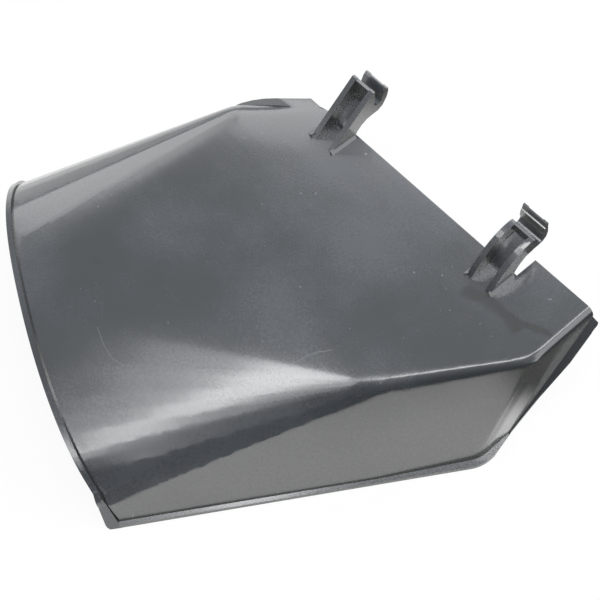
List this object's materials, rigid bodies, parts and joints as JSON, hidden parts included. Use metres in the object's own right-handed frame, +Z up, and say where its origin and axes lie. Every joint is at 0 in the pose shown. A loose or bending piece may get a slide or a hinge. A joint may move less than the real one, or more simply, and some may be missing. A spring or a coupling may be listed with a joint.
{
  "type": "mower side discharge adapter",
  "caption": "Moulded hood with an arched outlet and an open underside; open hooks on its inlet edge snap over a hinge rod to steer clippings sideways.",
  "frame": {"origin": "centre of the bounding box in plan, on the plane of the rim that the chute stands on", "axes": "+Z up from the rim to the top plate, +X along the hinge rod axis towards the hook beside the tab, +Y out of the inlet towards the machine; the outlet faces -Y and -X"},
  "size_m": [0.4282, 0.362, 0.1368],
  "materials": {
    "moulding": "semi-gloss dark grey moulded polypropylene"
  },
  "bodies": {
    "root": {"discharge_chute": "moulding"}
  },
  "joints": []
}
